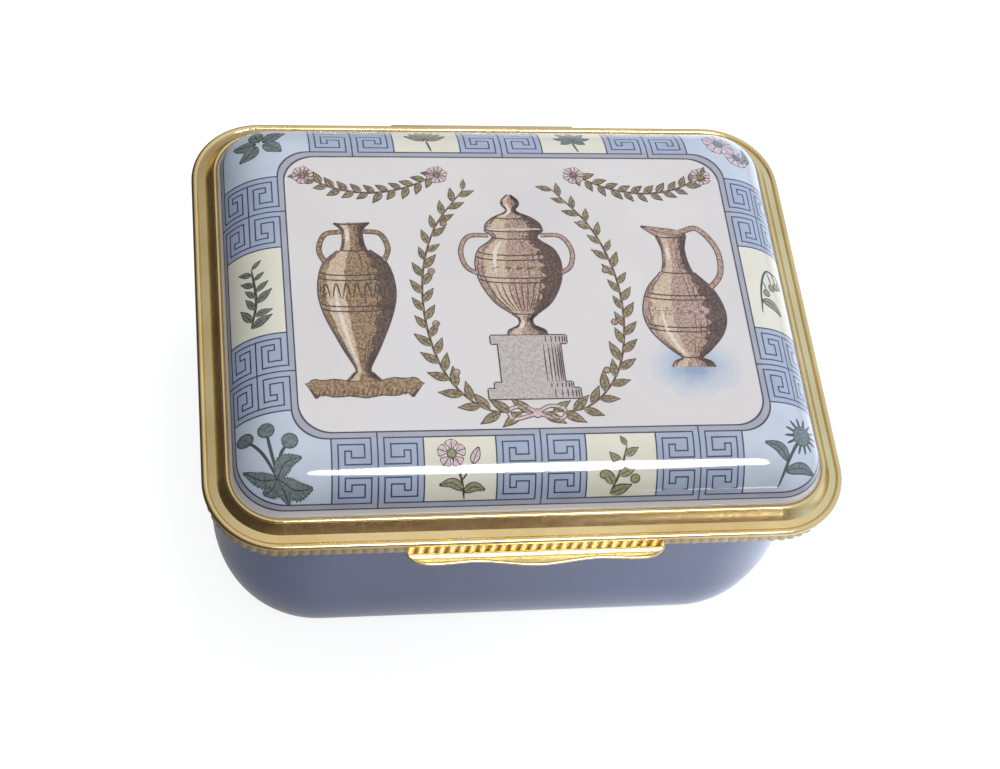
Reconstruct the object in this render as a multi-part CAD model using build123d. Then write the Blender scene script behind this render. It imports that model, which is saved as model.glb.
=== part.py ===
from build123d import *
from math import cos, radians, sin, sqrt
import os

# Oblong enamelled copper box with round corners, gilt rims and a domed lid on a hinge.
# Millimetres. X runs along the front, -Y is the front, +Z is up.
# The origin is the middle of the face the box rests on.
# An inset is a distance in from the outline of the lid's rim, seen from above.

# Outline of the box, at the outer bead of the lid's rim
rim_width = 76.2
rim_depth = 60.5
rim_corner = 8.9
bead_height = 28.4

# Layers of the two enamelled shells
enamel_thickness = 0.4
copper_thickness = 0.5
lining_thickness = 0.35

# Lid rim: a drawn moulding with two beads, and a sloped band and a steep hollow between them
outer_bead_radius = 0.45
band_start_slope = 30.0
band_width = 0.85
band_rise = 0.25
hollow_width = 0.85
hollow_rise = 1.15
hollow_depth = 0.03
inner_bead_radius = 0.3
skirt_height = 2.1
seat_depth = 1.0
seat_overhang = 0.25
seat_thickness = 0.4

# Milled band under the outer bead
milled_inset = 0.35
milled_thickness = 0.65
rib_pitch = 1.2
rib_depth = 0.22

# Lid dome: a shoulder arc round the edge and a cambered top
dome_edge_step = 0.15
shoulder_radius = 7.7
shoulder_edge_slope = 75.0
shoulder_top_slope = 4.0
shoulder_steps = 6
top_corner = 3.9
top_camber = 0.75
top_levels = (1.0, 0.92, 0.72, 0.42, 0.12)
roundest_corner_share = 0.96

# Slit between the lid and the base when the lid is shut
seam_gap = 0.15

# Base rim: a cap on the wall, a lip down its outside and a collar up its inside
cap_thickness = 0.6
lip_thickness = 0.6
lip_height = 1.0
lip_edge_radius = 0.25
collar_thickness = 0.55
collar_foot = 2.6
collar_clearance = 0.3
collar_headroom = 0.3
collar_bevel = 0.16

# Base bowl
wall_inset = 1.8
bottom_round_width = 4.2
bottom_round_height = 11.2
bowl_corner = 13.2

# Thumbpiece: a thin plate below a rounded step, its rolled edge one deep lobe between two shallow ones
thumb_width = 30.2
thumb_thickness = 0.5
thumb_plate_thickness = 0.25
thumb_step_reach = 0.1
thumb_step_width = 0.7
thumb_roll_radius = 0.2
thumb_reach = 1.1
thumb_side_lobe = 0.2
thumb_middle_lobe = 0.65
thumb_end_reach = 0.93
thumb_end_at = 0.94
thumb_side_lobe_at = 0.82
thumb_waist_at = 0.48

# Hinge
hinge_length = 24.0
hinge_order = (
    "base_knuckle_left",
    "lid_knuckle_left",
    "base_knuckle_middle",
    "lid_knuckle_right",
    "base_knuckle_right",
)
knuckle_gap = 0.12
knuckle_radius = 1.25
knuckle_clearance = 0.25
pin_radius = 0.45
pin_running_clearance = 0.05
pin_head = 0.2
hinge_end_gap = 0.3

# Heights and insets that follow
shell_thickness = enamel_thickness + copper_thickness + lining_thickness
lid_bottom = bead_height - skirt_height
base_top = lid_bottom - seam_gap
wall_top = base_top - cap_thickness
skirt_inset = milled_inset + milled_thickness
collar_inset = wall_inset + shell_thickness
skirt_inner = collar_inset - collar_clearance
lip_inset = wall_inset - lip_thickness
band_inset = outer_bead_radius * (1 + cos(radians(band_start_slope)))
band_height = bead_height + outer_bead_radius * sin(radians(band_start_slope))
hollow_inset = band_inset + band_width
hollow_height = band_height + band_rise
inner_bead_inset = hollow_inset + hollow_width
inner_bead_height = hollow_height + hollow_rise
dome_inset = inner_bead_inset + 2 * inner_bead_radius
dome_edge_height = inner_bead_height + dome_edge_step
seat_height = inner_bead_height - seat_depth
collar_top = seat_height - seat_thickness - collar_headroom
bowl_path_corner = bowl_corner + wall_inset
hinge_y = rim_depth / 2 - skirt_inset + knuckle_radius + knuckle_clearance
hinge_z = (lid_bottom + base_top) / 2


def outline(inset, corner, height):
    """The rim's outline, drawn in by an inset, with its own corner radius."""
    shape = RectangleRounded(rim_width - 2 * inset, rim_depth - 2 * inset, corner)
    return Pos(0, 0, height) * shape


def ring(section, corner=rim_corner):
    """Carry a section, drawn as inset and height, once round the rim's outline."""
    path = outline(0, corner, 0).wire()
    side = Plane(origin=(rim_width / 2, 0, 0), x_dir=(-1, 0, 0), z_dir=(0, 1, 0))
    return sweep(side * section, path=path)


def strip(inset_from, inset_to, height_from, height_to):
    """A plain strip of metal as a section."""
    return Pos((inset_from + inset_to) / 2, (height_from + height_to) / 2) * Rectangle(
        inset_to - inset_from, height_to - height_from
    )


def dome(offset):
    """The lid's dome as a solid, shrunk inwards by an offset, on a straight skirt."""
    rim_radius = rim_corner - dome_inset
    steepest = sin(radians(shoulder_edge_slope))
    flattest = sin(radians(shoulder_top_slope))
    arc_width = shoulder_radius * (steepest - flattest)
    shoulder = []
    for step in range(shoulder_steps + 1):
        slope = shoulder_edge_slope + (shoulder_top_slope - shoulder_edge_slope) * step / shoulder_steps
        across = sin(radians(slope))
        up = cos(radians(slope))
        run = shoulder_radius * (steepest - across)
        rise = shoulder_radius * (up - cos(radians(shoulder_edge_slope)))
        corner = rim_radius + (top_corner - rim_radius) * run / arc_width
        inset = dome_inset + run + offset * across
        height = dome_edge_height + rise - offset * up
        shoulder.append(outline(inset, corner - offset * across, height))
    top_inset = dome_inset + arc_width + offset * flattest
    top_height = shoulder[-1].center().Z
    half_width = rim_width / 2 - top_inset
    half_depth = rim_depth / 2 - top_inset
    smallest_corner = top_corner - offset * flattest
    top = []
    for level in top_levels:
        diagonal = sqrt(1 - sqrt(1 - level**2))
        rounding = (level - diagonal) * sqrt(half_width * half_depth) / (1 - sqrt(0.5))
        corner = min(max(smallest_corner, rounding), roundest_corner_share * level * half_depth)
        shape = RectangleRounded(2 * level * half_width, 2 * level * half_depth, corner)
        top.append(Pos(0, 0, top_height + top_camber * (1 - level**2)) * shape)
    skirt = extrude(shoulder[0], -(shoulder[0].center().Z - seat_height))
    return skirt + loft(shoulder) + loft(top)


def lid_layer(outer, inner):
    """One layer of the lid's pan, between two depths below its surface."""
    return dome(outer) - dome(inner)


def base_layer(outer, inner):
    """One layer of the bowl: a flat bottom, a rounded edge and the wall."""
    edge_centre = (wall_inset + bottom_round_width, bottom_round_height)
    rounded = []
    for offset in (outer, inner):
        width = bottom_round_width - offset
        height = bottom_round_height - offset
        arc = EllipticalCenterArc(edge_centre, width, height, start_angle=180, arc_size=90)
        rounded.append(arc)
    ends = [Line(rounded[0] @ 0, rounded[1] @ 0), Line(rounded[0] @ 1, rounded[1] @ 1)]
    edge = ring(make_face(Curve() + rounded + ends), bowl_path_corner)
    bottom = extrude(outline(edge_centre[0], bowl_corner - bottom_round_width, outer), inner - outer)
    wall = strip(wall_inset + outer, wall_inset + inner, bottom_round_height, wall_top)
    return edge + bottom + ring(wall, bowl_path_corner)


def lid_mount():
    """The lid's moulded rim, with the pan's seat and a skirt filled in to the bowl's rounder corners."""
    bead_foot = (outer_bead_radius, bead_height - outer_bead_radius)
    inner_bead = (inner_bead_inset + inner_bead_radius, inner_bead_height + inner_bead_radius)
    seat_inset = dome_inset + shell_thickness + seat_overhang
    seat_under = seat_height - seat_thickness
    hollow_slant = sqrt(hollow_width**2 + hollow_rise**2)
    hollow_middle = (
        hollow_inset + hollow_width / 2 + hollow_depth * hollow_rise / hollow_slant,
        hollow_height + hollow_rise / 2 - hollow_depth * hollow_width / hollow_slant,
    )
    edges = [
        Line((skirt_inset, lid_bottom), (skirt_inset, bead_foot[1])),
        Line((skirt_inset, bead_foot[1]), bead_foot),
        ThreePointArc(bead_foot, (0, bead_height), (band_inset, band_height)),
        Line((band_inset, band_height), (hollow_inset, hollow_height)),
        ThreePointArc((hollow_inset, hollow_height), hollow_middle, (inner_bead_inset, inner_bead_height)),
        ThreePointArc((inner_bead_inset, inner_bead_height), inner_bead, (dome_inset, inner_bead_height)),
        Polyline(
            (dome_inset, inner_bead_height),
            (dome_inset, seat_height),
            (seat_inset, seat_height),
            (seat_inset, seat_under),
            (skirt_inner, seat_under),
            (skirt_inner, lid_bottom),
            (skirt_inset, lid_bottom),
        ),
    ]
    skirt = outline(skirt_inset, rim_corner - skirt_inset, lid_bottom)
    skirt -= outline(skirt_inner, bowl_path_corner - skirt_inner, lid_bottom)
    return ring(make_face(Curve() + edges)) + extrude(skirt, seat_under - lid_bottom)


def milled_band():
    """A strip with half-round ribs, stopped at the hinge and cut out over the thumbpiece."""
    groove_inset = milled_inset + rib_depth
    groove_line = outline(groove_inset, rim_corner - groove_inset, lid_bottom).wire()
    rib_count = round(groove_line.length / rib_pitch)
    ribs = []
    for rib in range(rib_count):
        start = groove_line.position_at(rib / rib_count)
        end = groove_line.position_at((rib + 1) / rib_count)
        middle = groove_line.position_at((rib + 0.5) / rib_count)
        along = groove_line.tangent_at((rib + 0.5) / rib_count)
        outwards = Vector(along.Y, -along.X, 0)
        if outwards.dot(middle) < 0:
            outwards = -outwards
        ribs.append(ThreePointArc(start, middle + outwards * rib_depth, end))
    height = bead_height - outer_bead_radius - lid_bottom
    band = extrude(make_face(Curve() + ribs), height)
    band -= extrude(outline(skirt_inset, rim_corner - skirt_inset, lid_bottom), height)
    hinge_room = hinge_length + 2 * hinge_end_gap
    band -= Pos(0, rim_depth / 2, bead_height) * Box(hinge_room, 4 * milled_thickness, 4 * skirt_height)
    band -= Pos(0, -rim_depth / 2, lid_bottom) * Box(thumb_width, 4 * milled_thickness, 2 * thumb_thickness)
    return band


def thumbpiece():
    """A plate that steps out from under the milled band, its three-lobed edge rolled."""
    half = thumb_width / 2
    root = -(rim_depth / 2 - skirt_inset)
    front = -rim_depth / 2
    tip = thumb_reach + thumb_middle_lobe
    right_edge = [
        (half * thumb_waist_at, front - thumb_reach),
        (half * thumb_side_lobe_at, front - thumb_reach - thumb_side_lobe),
        (half * thumb_end_at, front - thumb_end_reach),
        (half, front),
    ]
    left_edge = [(-x, y) for x, y in reversed(right_edge)]
    edge = Spline(*left_edge, (0, front - tip), *right_edge)
    back = Polyline((half, front), (half, root), (-half, root), (-half, front))
    plan = Pos(0, 0, lid_bottom) * make_face(Curve() + [edge, back])
    over = lid_bottom + thumb_thickness
    plate_over = lid_bottom + thumb_plate_thickness
    step_top = (-thumb_step_reach, over)
    step_foot = (-thumb_step_reach - thumb_step_width, plate_over)
    under = [
        (-2 * tip, plate_over),
        (-2 * tip, lid_bottom),
        (skirt_inset, lid_bottom),
        (skirt_inset, over),
        step_top,
    ]
    step = Spline(step_top, step_foot, tangents=((-1, 0), (-1, 0)))
    profile = make_face(Curve() + [step, Line(step_foot, under[0]), Polyline(*under)])
    side = Plane(origin=(-half, front, 0), x_dir=(0, 1, 0), z_dir=(1, 0, 0))
    plate = extrude(side * profile, thumb_width) & extrude(plan, thumb_thickness)
    rolled = Pos(0, 0, lid_bottom + thumb_roll_radius) * edge
    start = Plane(origin=rolled @ 0, z_dir=rolled % 0)
    return plate + sweep(start * Circle(thumb_roll_radius), path=rolled)


def knuckle(start, end, bore, on_lid):
    """One tube of the hinge with a foot that reaches its own rim."""
    if on_lid:
        reach = knuckle_radius + knuckle_clearance
        foot_middle = (seam_gap / 2 + knuckle_radius) / 2
    else:
        reach = hinge_y - (rim_depth / 2 - lip_inset)
        foot_middle = -(seam_gap / 2 + knuckle_radius) / 2
    foot = Pos(reach / 2, foot_middle) * Rectangle(reach, knuckle_radius - seam_gap / 2)
    section = Circle(knuckle_radius) + foot - Circle(bore)
    side = Plane(origin=(end, hinge_y, hinge_z), x_dir=(0, -1, 0), z_dir=(-1, 0, 0))
    return extrude(side * section, end - start)


def hinge_knuckles():
    """Five tubes in line: three on the base, with one of the lid's between each two."""
    pitch = (hinge_length + knuckle_gap) / len(hinge_order)
    pieces = {}
    for place, name in enumerate(hinge_order):
        start = place * pitch - hinge_length / 2
        end = start + pitch - knuckle_gap
        on_lid = name.startswith("lid")
        bore = pin_radius + (pin_running_clearance if on_lid else 0)
        pieces[name] = knuckle(start, end, bore, on_lid)
    return pieces


def hinge_pin():
    """The wire through the tubes, its ends bevelled."""
    length = hinge_length + 2 * pin_head
    wire = Pos(0, hinge_y, hinge_z) * Rot(0, 90, 0) * Cylinder(pin_radius, length)
    return chamfer(wire.edges().filter_by(GeomType.CIRCLE), pin_head)


def base_mount():
    """The cap on the wall of the bowl, with its outer lip."""
    cap = strip(lip_inset, collar_inset, wall_top, base_top)
    lip = strip(lip_inset, wall_inset, wall_top - lip_height, wall_top)
    section = cap + lip
    outer = section.vertices().sort_by(Axis.X)[:2]
    return ring(fillet(outer, lip_edge_radius), bowl_path_corner)


def base_collar():
    """The upright strip inside the rim, bevelled on top, that the lid closes over."""
    section = strip(collar_inset, collar_inset + collar_thickness, wall_top - collar_foot, collar_top)
    top = section.vertices().sort_by(Axis.Y)[-2:]
    return ring(chamfer(top, collar_bevel), bowl_path_corner)


copper_depth = enamel_thickness
lining_depth = enamel_thickness + copper_thickness
parts = {
    "base_enamel": base_layer(0, copper_depth),
    "base_copper": base_layer(copper_depth, lining_depth),
    "base_lining": base_layer(lining_depth, shell_thickness),
    "base_mount": base_mount(),
    "base_collar": base_collar(),
    "hinge_pin": hinge_pin(),
    "lid_enamel": lid_layer(0, copper_depth),
    "lid_copper": lid_layer(copper_depth, lining_depth),
    "lid_lining": lid_layer(lining_depth, shell_thickness),
    "lid_mount": lid_mount(),
    "milled_band": milled_band(),
    "thumbpiece": thumbpiece(),
    **hinge_knuckles(),
}

os.makedirs("parts", exist_ok=True)
for name, part in parts.items():
    part.label = name
    export_step(part, f"parts/{name}.step")
    print(name, "solids", len(part.solids()), "volume", round(part.volume, 2))
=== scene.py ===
# %% [markdown]
# An enamelled trinket box is a copper box under glass. The lid and the bowl are pressed from thin
# copper, covered with glass enamel inside and out, and held in gilt brass rims that meet at a
# hinge. The metalwork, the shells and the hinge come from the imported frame, at their true places.
# This lesson gives them their finish and adds what is only a skin: the fired transfers on the lid.

# %% Load the frame
import bpy
import math
import random
import numpy as np
from mathutils import Matrix, Vector


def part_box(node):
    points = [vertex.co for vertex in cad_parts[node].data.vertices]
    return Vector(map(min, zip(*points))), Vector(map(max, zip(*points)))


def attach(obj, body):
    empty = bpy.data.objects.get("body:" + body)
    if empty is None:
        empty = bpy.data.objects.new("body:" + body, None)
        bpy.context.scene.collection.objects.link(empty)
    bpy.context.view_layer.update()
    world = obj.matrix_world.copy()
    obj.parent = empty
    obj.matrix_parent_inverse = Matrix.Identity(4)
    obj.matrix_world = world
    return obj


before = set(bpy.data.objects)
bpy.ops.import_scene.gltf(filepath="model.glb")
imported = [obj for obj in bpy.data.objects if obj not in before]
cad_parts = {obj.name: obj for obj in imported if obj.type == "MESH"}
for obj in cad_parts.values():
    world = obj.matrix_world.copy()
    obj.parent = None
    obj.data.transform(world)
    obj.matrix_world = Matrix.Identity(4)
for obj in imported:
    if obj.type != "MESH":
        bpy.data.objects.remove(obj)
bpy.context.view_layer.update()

MM = 0.001
print("nodes in the frame:", len(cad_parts))

# %% [markdown]
# The photograph was taken from the front, a little to the left and well above, with the phone
# leaning over. The camera is set first, because every finish is judged through it. Its place, turn,
# tilt and lean were worked out from the edges of the lid and the bowl in the picture.

# %% Set the camera
CAMERA_PLACE = Vector((-44.75, -127.08, 223.86)) * MM
CAMERA_TURN = 0.345
CAMERA_TILT = 0.9999
CAMERA_LEAN = 0.2781
FOCAL_PIXELS = 1935.88
PHOTO_WIDTH = 1000
SENSOR = 36.0


def camera_matrix():
    """The camera's place and its three directions, as one matrix."""
    level = Vector((math.sin(CAMERA_TURN), math.cos(CAMERA_TURN), 0))
    ahead = level * math.cos(CAMERA_TILT) - Vector((0, 0, math.sin(CAMERA_TILT)))
    right = Vector((math.cos(CAMERA_TURN), -math.sin(CAMERA_TURN), 0))
    up = right.cross(ahead)
    leaning_right = math.cos(CAMERA_LEAN) * right + math.sin(CAMERA_LEAN) * up
    leaning_up = math.cos(CAMERA_LEAN) * up - math.sin(CAMERA_LEAN) * right
    columns = (leaning_right, leaning_up, -ahead, CAMERA_PLACE)
    rows = [[column[row] for column in columns] for row in range(3)]
    return Matrix(rows + [[0, 0, 0, 1]])


camera_data = bpy.data.cameras.new("photo_camera")
camera_data.sensor_width = SENSOR
camera_data.lens = FOCAL_PIXELS / PHOTO_WIDTH * SENSOR
camera_data.clip_start = 0.01
camera = bpy.data.objects.new("photo_camera", camera_data)
bpy.context.scene.collection.objects.link(camera)
camera.matrix_world = camera_matrix()
bpy.context.scene.camera = camera
print("camera lens", round(camera_data.lens, 1), "mm")

# %% [markdown]
# Every finish is a small network of nodes. A few helpers keep the networks short to write. One
# turns a colour as a painter mixes it on screen into the linear values that light uses, one adds a
# node and fills its sockets, and one starts a material with its surface shader. The others each
# add a step that comes back often: noise, a ramp of colours, a mix of two, a bump or arithmetic.


# %% Helpers for materials
def shade(red, green, blue):
    """A screen colour from 0 to 255 as linear light."""
    def linear(value):
        value = value / 255
        return value / 12.92 if value <= 0.04045 else ((value + 0.055) / 1.055) ** 2.4
    return (linear(red), linear(green), linear(blue), 1.0)


def grey(value):
    """An even grey of that strength."""
    return (value, value, value, 1.0)


def fill(tree, node, **sockets):
    """Fill a node's inputs with values, or with links from other nodes."""
    for name, value in sockets.items():
        numbered = name[0] == "i" and name[1:].isdigit()
        socket = node.inputs[int(name[1:]) if numbered else name.replace("_", " ")]
        if isinstance(value, bpy.types.NodeSocket):
            tree.links.new(value, socket)
        else:
            socket.default_value = value


def add(tree, kind, settings=None, **sockets):
    """Add a node, set its options and fill its inputs."""
    node = tree.nodes.new(kind)
    for name, value in (settings or {}).items():
        setattr(node, name, value)
    fill(tree, node, **sockets)
    return node


def make(tree, kind, **sockets):
    """Add a node and take what it makes, its first output."""
    return add(tree, kind, **sockets).outputs[0]


def start_material(name):
    """A new material: its tree, its surface shader and a socket of object coordinates."""
    material = bpy.data.materials.new(name)
    material.use_nodes = True
    tree = material.node_tree
    surface = tree.nodes["Principled BSDF"]
    place = add(tree, "ShaderNodeTexCoord").outputs["Object"]
    return material, tree, surface, place


def noise(tree, place, size, detail):
    """Noise whose lumps are about this size in metres, with finer noise in it."""
    return make(tree, "ShaderNodeTexNoise", Vector=place, Scale=1 / size, Detail=detail)


def ramp(tree, value, *stops):
    """A colour ramp: each stop is a place from 0 to 1 and a colour."""
    node = add(tree, "ShaderNodeValToRGB", Fac=value)
    elements = node.color_ramp.elements
    while len(elements) < len(stops):
        elements.new(0.5)
    for element, (position, colour) in zip(elements, stops):
        element.position = position
        element.color = colour
    return node.outputs["Color"]


def mix(tree, share, first, second):
    """The first colour where the share is 0, the second where it is 1."""
    node = add(tree, "ShaderNodeMix", {"data_type": "RGBA"}, i0=share, i6=first, i7=second)
    return node.outputs[2]


def bump(tree, height, strength, depth):
    """A surface that looks as if it rose and fell by this depth in metres."""
    return make(tree, "ShaderNodeBump", Strength=strength, Distance=depth, Height=height)


def calc(tree, operation, first, second=0.0, third=0.0):
    """One step of arithmetic."""
    node = add(tree, "ShaderNodeMath", {"operation": operation}, i0=first, i1=second, i2=third)
    return node.outputs[0]


def calc_vector(tree, operation, first, second=(0, 0, 0)):
    """One step of arithmetic on places or directions, as a vector or as a value."""
    return add(tree, "ShaderNodeVectorMath", {"operation": operation}, i0=first, i1=second).outputs


def rise(tree, value, low, high):
    """From 0 at one limit to 1 at the other."""
    return make(tree, "ShaderNodeMapRange", Value=value, From_Min=low, From_Max=high)


print("helpers ready")

# %% [markdown]
# The box stands on a plain white sweep. It glows only to the camera, in mirrors and through glass,
# so it shows white without adding light to dull surfaces, and it still takes the shadow. In
# mirrors, and in the light that it throws back, it is dark to the left. In mirrors it is also a
# little warm there and cool to the right, so the gilt rim shades from a brownish gold to a paler one.

# %% Lay the floor
FLOOR_SIZE = 4.0
FLOOR_GLOW = 0.85
FLOOR_SHADE = 0.3
FLOOR_IN_MIRRORS = 0.85
FLOOR_DARKEST = 0.06
FLOOR_GAIN = 0.6
FLOOR_LEFT = (1.0, 0.9, 0.8, 1.0)
FLOOR_RIGHT = (0.8, 0.98, 1.3, 1.0)
GLOW_NEAR = 0.08
GLOW_FAR = 0.3


def build_floor():
    """A flat floor under the box: white to the eye, but dark to the left and far off in mirrors."""
    half = FLOOR_SIZE / 2
    corners = [(-half, -half, 0), (half, -half, 0), (half, half, 0), (-half, half, 0)]
    mesh = bpy.data.meshes.new("floor")
    mesh.from_pydata(corners, [], [(0, 1, 2, 3)])
    floor = bpy.data.objects.new("floor", mesh)
    bpy.context.scene.collection.objects.link(floor)
    material, tree, surface, place = start_material("white_sweep")
    ray = add(tree, "ShaderNodeLightPath").outputs
    near = rise(tree, calc_vector(tree, "LENGTH", place)["Value"], GLOW_FAR, GLOW_NEAR)
    across = add(tree, "ShaderNodeSeparateXYZ", Vector=place).outputs["X"]
    right = rise(tree, across, -GLOW_NEAR, GLOW_NEAR)
    seen = calc(tree, "MULTIPLY", ray["Is Camera Ray"], FLOOR_SHADE)
    white = calc(tree, "MAXIMUM", calc(tree, "MULTIPLY_ADD", right, FLOOR_GAIN, FLOOR_DARKEST), seen)
    mirrored = calc(tree, "MULTIPLY", calc(tree, "MULTIPLY", right, FLOOR_IN_MIRRORS), near)
    glow = calc(tree, "MULTIPLY", ray["Is Camera Ray"], FLOOR_GLOW)
    glow = calc(tree, "MULTIPLY_ADD", ray["Is Glossy Ray"], mirrored, glow)
    glow = calc(tree, "MULTIPLY_ADD", ray["Is Transmission Ray"], FLOOR_GLOW, glow)
    tint = mix(tree, ray["Is Glossy Ray"], grey(1), mix(tree, right, FLOOR_LEFT, FLOOR_RIGHT))
    fill(tree, surface, Base_Color=white, Roughness=0.9, Specular_IOR_Level=0.0)
    fill(tree, surface, Emission_Color=tint, Emission_Strength=glow)
    mesh.materials.append(material)


build_floor()
print("floor", FLOOR_SIZE, "m wide")

# %% [markdown]
# Most of the light is soft and comes from above and from the right. The room is dim low down, and
# dimmest at the left, which puts the bowl in shade. Gilt and glass mirror the room far more sharply
# than a dull surface gathers its light, so mirrors get a room of their own: darker and warmer low
# down, and with cool daylight at the right. Each room is a ramp of colours over how far a direction
# leans towards the light. The camera sees white.

# %% Paint the room
PLAIN_LIGHT_FROM = (0.4, -0.15, 0.7)
PLAIN_SHIFT = 0.26
PLAIN_ROOM = [(0.0, (0.09, 0.09, 0.09, 1)), (0.35, (0.32, 0.35, 0.39, 1)), (0.95, (0.84, 0.85, 0.87, 1))]
MIRRORED_LIGHT_FROM = (0.4, 0.1, 0.75)
MIRRORED_SHIFT = 0.15
MIRRORED_ROOM = [
    (0.0, (0.07, 0.06, 0.05, 1)), (0.12, (0.14, 0.1, 0.09, 1)), (0.33, (0.23, 0.17, 0.15, 1)),
    (0.45, (0.38, 0.36, 0.36, 1)), (0.6, (0.56, 0.6, 0.66, 1)), (0.95, (0.88, 0.88, 0.9, 1)),
]
DAYLIGHT = (0.75, 0.92, 1.25, 1.0)
DAYLIGHT_FROM = (1, 0.3, -0.3)
DAYLIGHT_STARTS = 0.15
DAYLIGHT_FULL = 0.7


def lean(tree, direction, towards):
    """How far a direction leans towards another."""
    return calc_vector(tree, "DOT_PRODUCT", direction, towards)["Value"]


def build_room():
    """A room that is bright overhead, dim low down and to the left, and white to the camera."""
    world = bpy.data.worlds.new("room")
    bpy.context.scene.world = world
    world.use_nodes = True
    tree = world.node_tree
    direction = add(tree, "ShaderNodeTexCoord").outputs["Generated"]
    ray = add(tree, "ShaderNodeLightPath").outputs
    plain_lean = calc(tree, "ADD", lean(tree, direction, PLAIN_LIGHT_FROM), PLAIN_SHIFT)
    plain = ramp(tree, plain_lean, *PLAIN_ROOM)
    mirrored_lean = calc(tree, "ADD", lean(tree, direction, MIRRORED_LIGHT_FROM), MIRRORED_SHIFT)
    mirrored = ramp(tree, mirrored_lean, *MIRRORED_ROOM)
    daylight = rise(tree, lean(tree, direction, DAYLIGHT_FROM), DAYLIGHT_STARTS, DAYLIGHT_FULL)
    walls = mix(tree, ray["Is Glossy Ray"], plain, mix(tree, daylight, mirrored, DAYLIGHT))
    fill(tree, tree.nodes["Background"], Color=mix(tree, ray["Is Camera Ray"], walls, grey(1)))


build_room()
print("room in", len(PLAIN_ROOM), "tones, and in", len(MIRRORED_ROOM), "for mirrors")

# %% [markdown]
# Three lamps do the rest. A bright window in front draws the long streak on the shoulder of the lid
# and the thin ones on the beads of the rim. A dim slit, low in front, draws a faint second streak.
# Both are kept to reflections, and the soft lamp overhead is kept to the plain light, so each can be
# set by itself.

# %% Hang the lamps
LAMP_AIM = Vector((0, 0, 0.03))
LAMPS = {
    "window": {"place": (0.165, -0.44, 0.61), "width": 0.3, "height": 0.18, "brightness": 27.0, "tilt": 0.3},
    "slit": {"place": (0.25, -0.7, 0.12), "width": 0.12, "height": 0.03, "brightness": 5.0},
    "sky": {"place": (0.2, 0.25, 0.8), "width": 0.6, "height": 0.6, "brightness": 3.2},
}


def build_lamp(name, place, width, height, brightness, tilt=0.0):
    """An oval lamp of an even brightness that faces the box, its left end tilted down."""
    place = Vector(place)
    oval = math.pi / 4 * width * height
    light = bpy.data.lights.new(name, "AREA")
    light.shape = "ELLIPSE"
    light.size = width
    light.size_y = height
    light.energy = brightness * math.pi * oval
    lamp = bpy.data.objects.new(name, light)
    bpy.context.scene.collection.objects.link(lamp)
    across = Vector((math.cos(tilt), 0, math.sin(tilt)))
    upwards = (place - LAMP_AIM).cross(across).normalized()
    facing = across.cross(upwards).normalized()
    rows = [[across[i], upwards[i], facing[i], place[i]] for i in range(3)]
    lamp.matrix_world = Matrix(rows + [[0, 0, 0, 1]])
    return lamp


for name, facts in LAMPS.items():
    lamp = build_lamp(name, **facts)
    lamp.visible_diffuse = name == "sky"
    lamp.visible_glossy = name != "sky"
bpy.context.scene.view_settings.view_transform = "Standard"
print("lamps:", ", ".join(LAMPS))

# %% [markdown]
# The rims, the collar, the milled band, the thumbpiece and the hinge tubes are brass with a thin
# gilding. Gilding is bright but never a perfect mirror: it carries fine polishing marks, warmer and
# duller patches where it has been handled, and tiny pits. The network mixes three close golds by a
# soft noise and lets finer noises set the gloss and the bump. The milled band gets a duller mix.


# %% Finish the gilt brass
PATCH_SIZE = 0.009
MARK_SIZE = 0.0006
PIT_SIZE = 0.0011
PIT_DEPTH = 0.00003
PIT_STRENGTH = 0.12


def build_gilt(name, bright, dull, *golds):
    """Gilded brass with handled patches, fine marks and small pits; its roughness has two limits."""
    material, tree, surface, place = start_material(name)
    colour = ramp(tree, noise(tree, place, PATCH_SIZE, 3), *zip((0.3, 0.55, 0.8), golds))
    gloss = ramp(tree, noise(tree, place, MARK_SIZE, 4), (0.35, grey(bright)), (0.75, grey(dull)))
    pits = bump(tree, noise(tree, place, PIT_SIZE, 2), PIT_STRENGTH, PIT_DEPTH)
    fill(tree, surface, Metallic=1.0, Base_Color=colour, Roughness=gloss, Normal=pits)
    return material


def dress(material, *names):
    """Give these nodes of the frame a finish."""
    for name in names:
        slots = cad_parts[name].data.materials
        slots.clear()
        slots.append(material)


gilt_nodes = ["lid_mount", "thumbpiece", "base_mount", "base_collar"]
gilt_nodes += [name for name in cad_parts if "knuckle" in name]
golds = shade(216, 190, 132), shade(227, 203, 147), shade(234, 213, 162)
dress(build_gilt("gilding", 0.16, 0.27, *golds), *gilt_nodes)
worn_golds = shade(190, 166, 126), shade(202, 180, 142), shade(212, 194, 160)
dress(build_gilt("milled_gilding", 0.42, 0.52, *worn_golds), "milled_band")
print("gilded", len(gilt_nodes), "nodes and the milled band")

# %% [markdown]
# The hinge turns on a drawn wire of harder, paler metal, and the shells hide a sheet of copper
# between their two coats of glass. Both are simple metals with a mottle of their own.


# %% Finish the wire and the copper
def build_metal(name, dark, light, size, roughness):
    """A plain metal, mottled between two colours."""
    material, tree, surface, place = start_material(name)
    colour = ramp(tree, noise(tree, place, size, 4), (0.3, dark), (0.7, light))
    fill(tree, surface, Base_Color=colour, Metallic=1.0, Roughness=roughness)
    return material


wire = build_metal("drawn_wire", shade(160, 150, 130), shade(196, 188, 170), size=0.0008, roughness=0.28)
copper = build_metal("bare_copper", shade(150, 82, 52), shade(196, 120, 84), size=0.004, roughness=0.4)
dress(wire, "hinge_pin")
dress(copper, "base_copper", "lid_copper")
print("wire and copper done")

# %% [markdown]
# Enamel is coloured glass under a clear skin. Its colour comes from below, and its gloss from the
# skin, which is never quite flat: it has slow waves from the firing. All the enamels and all the
# prints but the faint blue wash share one bump, read from the same coordinates, so a reflection runs
# unbroken across the lid and what is printed on it.

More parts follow.
